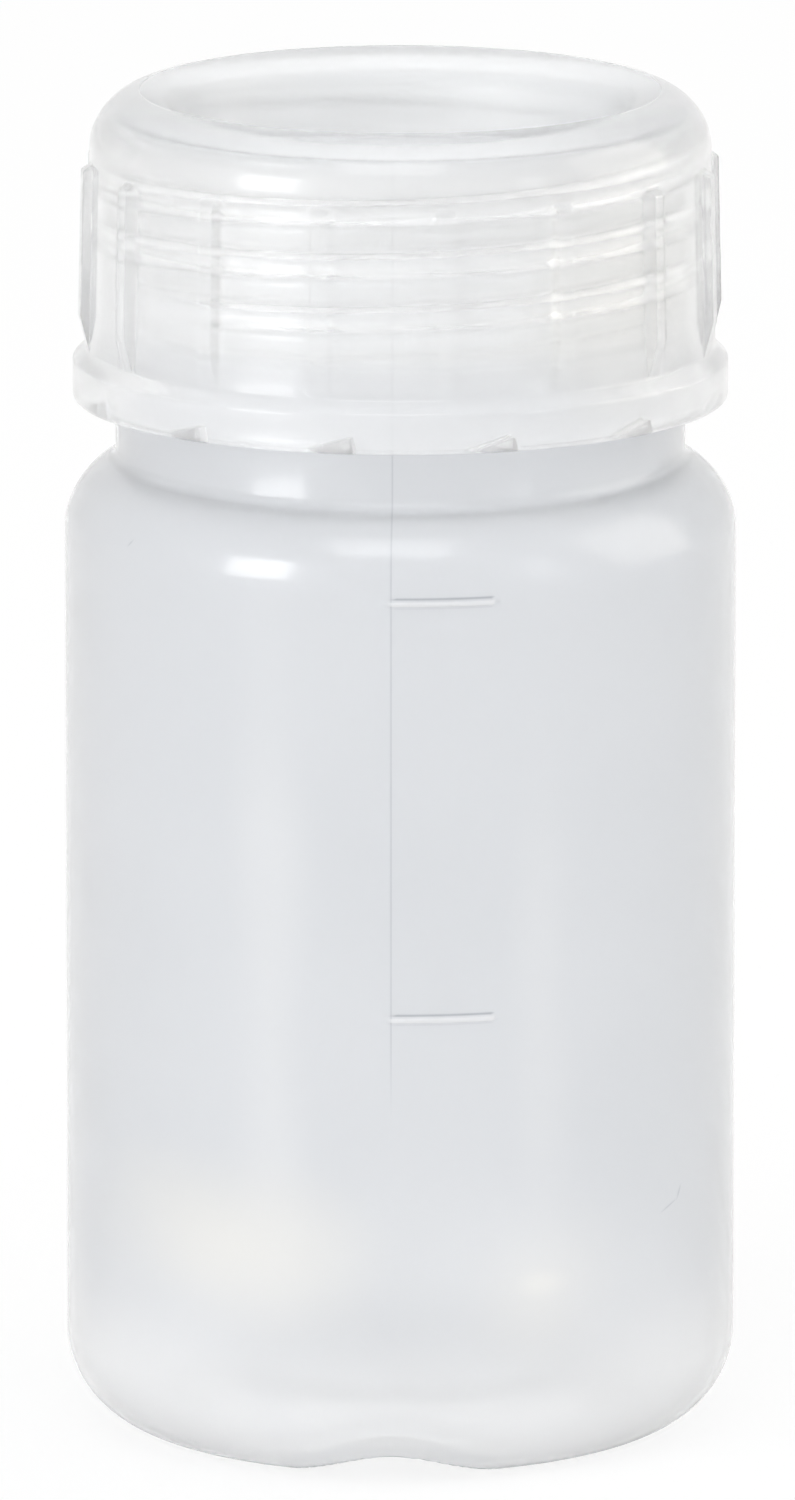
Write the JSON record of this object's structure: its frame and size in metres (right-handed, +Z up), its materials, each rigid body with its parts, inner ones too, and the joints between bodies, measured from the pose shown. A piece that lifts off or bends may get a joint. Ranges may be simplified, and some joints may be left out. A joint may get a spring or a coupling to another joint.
{
  "type": "fluoropolymer bottle",
  "caption": "Wide-mouth translucent laboratory bottle with rounded base and shoulder, raised graduation marks and a ribbed, dished screw cap.",
  "frame": {"origin": "centre of the base, on the surface that the bottle stands on", "axes": "+Z up along the bottle's axis; the graduated front with the parting line faces -Y; +X to the right seen from the front"},
  "size_m": [0.048, 0.0484, 0.097],
  "materials": {
    "bottle_plastic": "milky translucent, smooth and waxy",
    "cap_plastic": "milky translucent, glossy"
  },
  "bodies": {
    "bottle": {"bottle": "bottle_plastic"},
    "cap": {"screw_cap": "cap_plastic"}
  },
  "joints": [
    {"name": "cap_lift", "type": "slide", "parent": "bottle", "child": "cap", "axis": [0, 0, 1], "range_m": [0, 0.04]}
  ]
}
